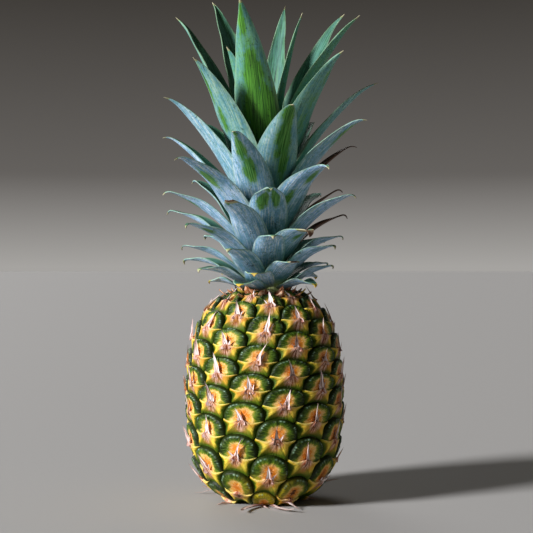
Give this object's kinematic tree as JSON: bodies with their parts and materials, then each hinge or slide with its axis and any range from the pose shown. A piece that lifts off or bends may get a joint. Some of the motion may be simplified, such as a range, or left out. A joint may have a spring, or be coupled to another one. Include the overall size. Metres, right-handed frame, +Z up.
{
  "type": "pineapple",
  "caption": "Whole ripe pineapple standing on its base: barrel-shaped fruit with spiral rows of eyes and dry bract tips, under a crown of stiff channelled leaves.",
  "frame": {"origin": "middle of the base, on the surface the fruit stands on", "axes": "+Z up along the fruit's axis to the tip of the crown, -Y towards the front of the fruit, +X to its right"},
  "size_m": [0.1654, 0.1631, 0.392],
  "materials": {
    "rind": "leathery rind of green, olive and yellow eyes with dry pinkish bract tips, slightly waxy",
    "stem": "pale fibrous crown stem",
    "leaf": "stiff green leaf under a blue-grey waxy bloom, satin"
  },
  "bodies": {
    "root": {"fruit": "rind", "crown_stem": "stem", "crown_leaf_01": "leaf", "crown_leaf_02": "leaf", "crown_leaf_03": "leaf", "crown_leaf_04": "leaf", "crown_leaf_05": "leaf", "crown_leaf_06": "leaf", "crown_leaf_07": "leaf", "crown_leaf_08": "leaf", "crown_leaf_09": "leaf", "crown_leaf_10": "leaf", "crown_leaf_11": "leaf", "crown_leaf_12": "leaf", "crown_leaf_13": "leaf", "crown_leaf_14": "leaf", "crown_leaf_15": "leaf", "crown_leaf_16": "leaf", "crown_leaf_17": "leaf", "crown_leaf_18": "leaf", "crown_leaf_19": "leaf", "crown_leaf_20": "leaf", "crown_leaf_21": "leaf", "crown_leaf_22": "leaf", "crown_leaf_23": "leaf", "crown_leaf_24": "leaf", "crown_leaf_25": "leaf", "crown_leaf_26": "leaf", "crown_leaf_27": "leaf", "crown_leaf_28": "leaf", "crown_leaf_29": "leaf", "crown_leaf_30": "leaf", "crown_leaf_31": "leaf", "crown_leaf_32": "leaf", "crown_leaf_33": "leaf", "crown_leaf_34": "leaf", "crown_leaf_35": "leaf", "crown_leaf_36": "leaf", "crown_leaf_37": "leaf", "crown_leaf_38": "leaf", "crown_leaf_39": "leaf", "crown_leaf_40": "leaf", "crown_leaf_41": "leaf", "crown_leaf_42": "leaf", "crown_leaf_43": "leaf", "crown_leaf_44": "leaf", "crown_leaf_45": "leaf", "crown_leaf_46": "leaf", "crown_leaf_47": "leaf", "crown_leaf_48": "leaf", "crown_leaf_49": "leaf", "crown_leaf_50": "leaf", "crown_leaf_51": "leaf", "crown_leaf_52": "leaf", "crown_leaf_53": "leaf", "crown_leaf_54": "leaf", "crown_leaf_55": "leaf", "crown_leaf_56": "leaf", "crown_leaf_57": "leaf", "crown_leaf_58": "leaf"}
  },
  "joints": []
}
